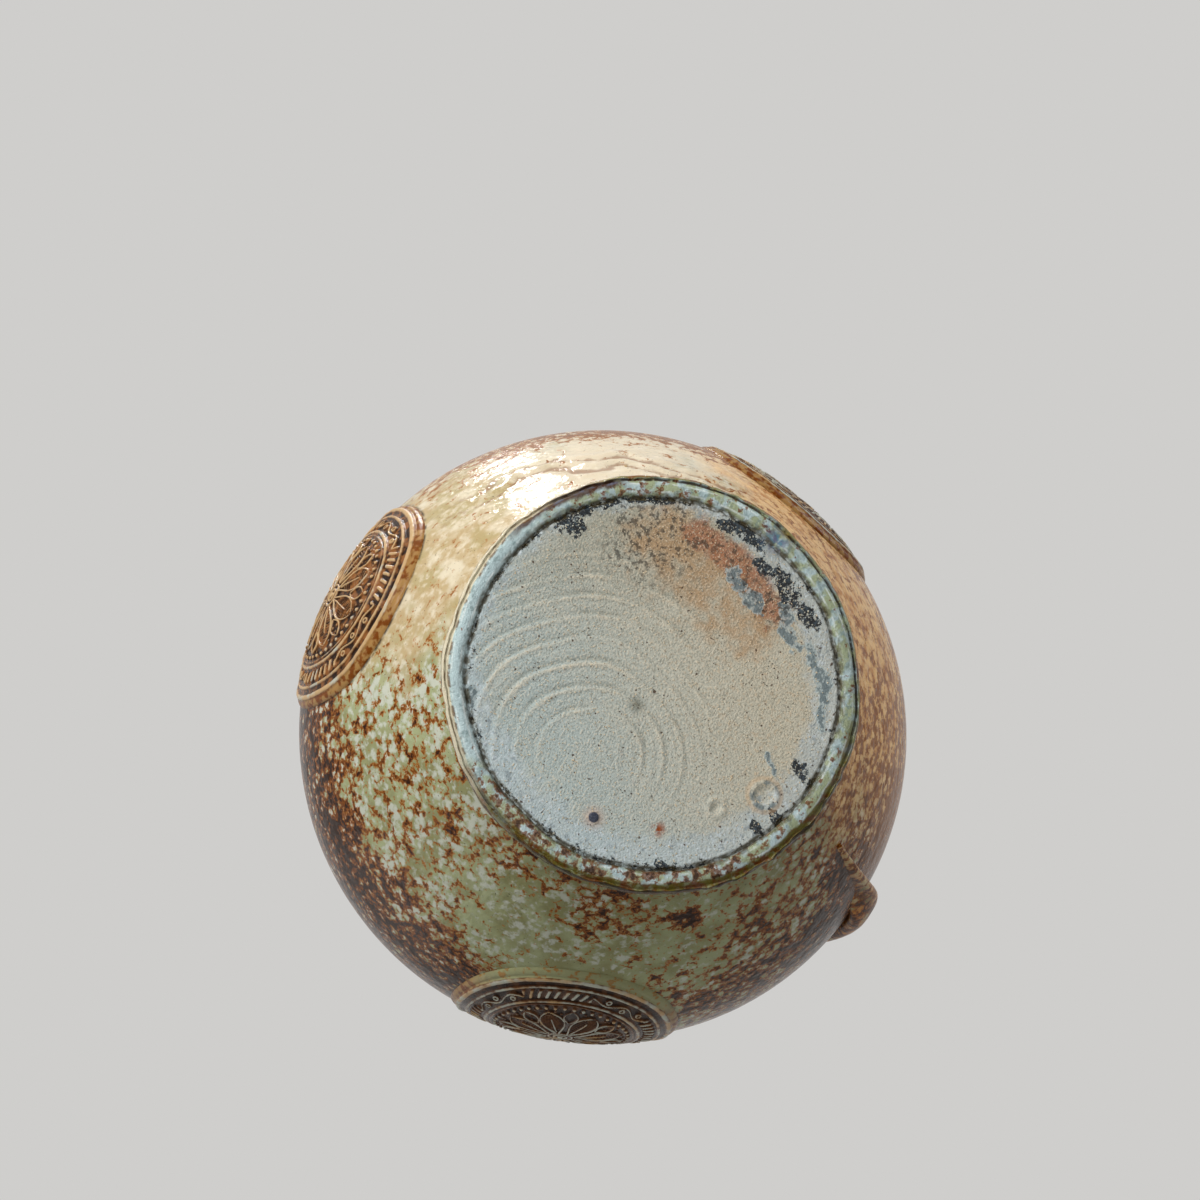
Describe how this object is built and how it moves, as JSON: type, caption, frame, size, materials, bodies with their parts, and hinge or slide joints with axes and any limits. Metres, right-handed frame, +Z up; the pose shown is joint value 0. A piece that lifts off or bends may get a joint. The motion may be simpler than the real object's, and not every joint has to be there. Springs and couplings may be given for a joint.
{
  "type": "bellarmine jug",
  "caption": "Round-bellied salt-glazed stoneware jug with a narrow neck, a bearded mask, oval pressed medallions and a strap handle.",
  "frame": {"origin": "centre of the flat base disc that the jug rests on", "axes": "+Z up along the jug's axis to the rim, front (mask and front medallion) to -Y, strap handle to +Y"},
  "size_m": [0.2445, 0.2493, 0.332],
  "materials": {
    "salt_glaze": "gloss",
    "brown_glaze": "gloss",
    "bare_clay": "matte"
  },
  "bodies": {
    "root": {"foot": "bare_clay", "lower_belly": "salt_glaze", "shoulder": "salt_glaze", "neck": "salt_glaze", "rim": "salt_glaze", "strap_handle": "brown_glaze", "bearded_mask": "brown_glaze", "medallion_front": "brown_glaze", "medallion_left": "brown_glaze", "medallion_right": "brown_glaze"}
  },
  "joints": []
}
